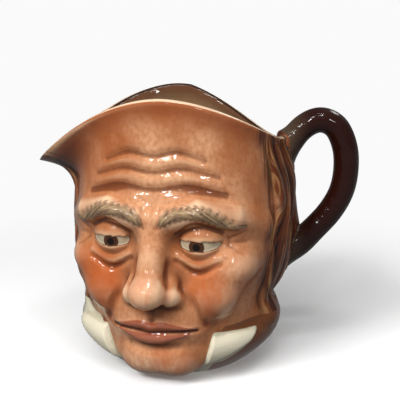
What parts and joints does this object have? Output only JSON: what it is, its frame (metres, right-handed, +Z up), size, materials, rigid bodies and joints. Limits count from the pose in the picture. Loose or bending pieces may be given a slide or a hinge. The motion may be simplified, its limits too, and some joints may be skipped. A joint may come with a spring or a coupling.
{
  "type": "toby jug",
  "caption": "Glazed earthenware jug shaped as an old man's head, with a pouring lip at one side, a loop handle at the other, side hair and a stand-up collar.",
  "frame": {"origin": "middle of the jug's flat foot", "axes": "+Z up; +X towards the handle, -X towards the pouring lip; the face looks along -Y, turned 12 degrees towards the lip"},
  "size_m": [0.1673, 0.1312, 0.14],
  "materials": {
    "glazed_earthenware": "glossy glaze over painted colours: peach-tan skin, dark brown hair, near-black brown handle, cream collar wings"
  },
  "bodies": {
    "root": {"jug": "glazed_earthenware"}
  },
  "joints": []
}
